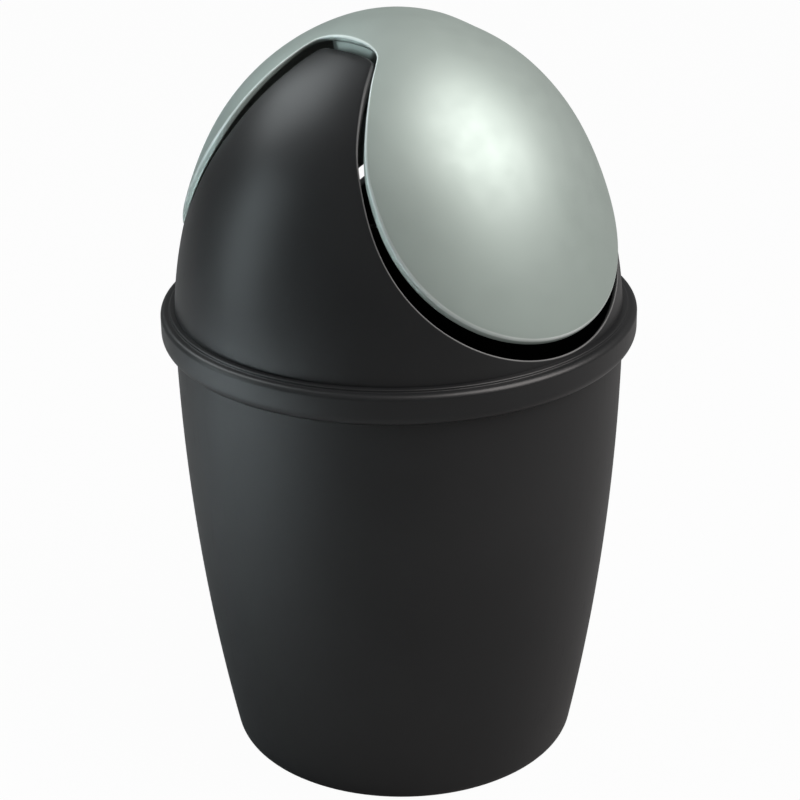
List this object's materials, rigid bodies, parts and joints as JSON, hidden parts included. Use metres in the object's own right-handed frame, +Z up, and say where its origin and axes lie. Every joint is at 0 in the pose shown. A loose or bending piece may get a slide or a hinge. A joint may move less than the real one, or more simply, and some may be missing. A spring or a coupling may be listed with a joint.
{
  "type": "countertop swing lid bin",
  "caption": "Small countertop waste bin: a tapered round bucket, a lift-off domed hood, and a saddle-shaped lid that swings inwards from either side.",
  "frame": {"origin": "centre of the base, on the surface that the bin stands on", "axes": "+Z up, X along the lid's pivot axis, the lid's lobes face -Y and +Y"},
  "size_m": [0.1302, 0.1302, 0.211],
  "materials": {
    "bucket_plastic": "satin, fine moulded grain",
    "hood_plastic": "satin, fine moulded grain",
    "lid_plastic": "semi-gloss silver grey",
    "pin_plastic": "satin"
  },
  "bodies": {
    "bucket": {"bucket": "bucket_plastic"},
    "hood": {"hood": "hood_plastic", "pivot_pin_left": "pin_plastic", "pivot_pin_right": "pin_plastic"},
    "lid": {"swing_lid": "lid_plastic"}
  },
  "joints": [
    {"name": "hood_lift", "type": "slide", "parent": "bucket", "child": "hood", "axis": [0, 0, 1], "range_m": [0, 0.06]},
    {"name": "lid_swing", "type": "hinge", "parent": "hood", "child": "lid", "pos_m": [0, 0, 0.192], "axis": [1, 0, 0], "range_deg": [-75, 75]}
  ]
}
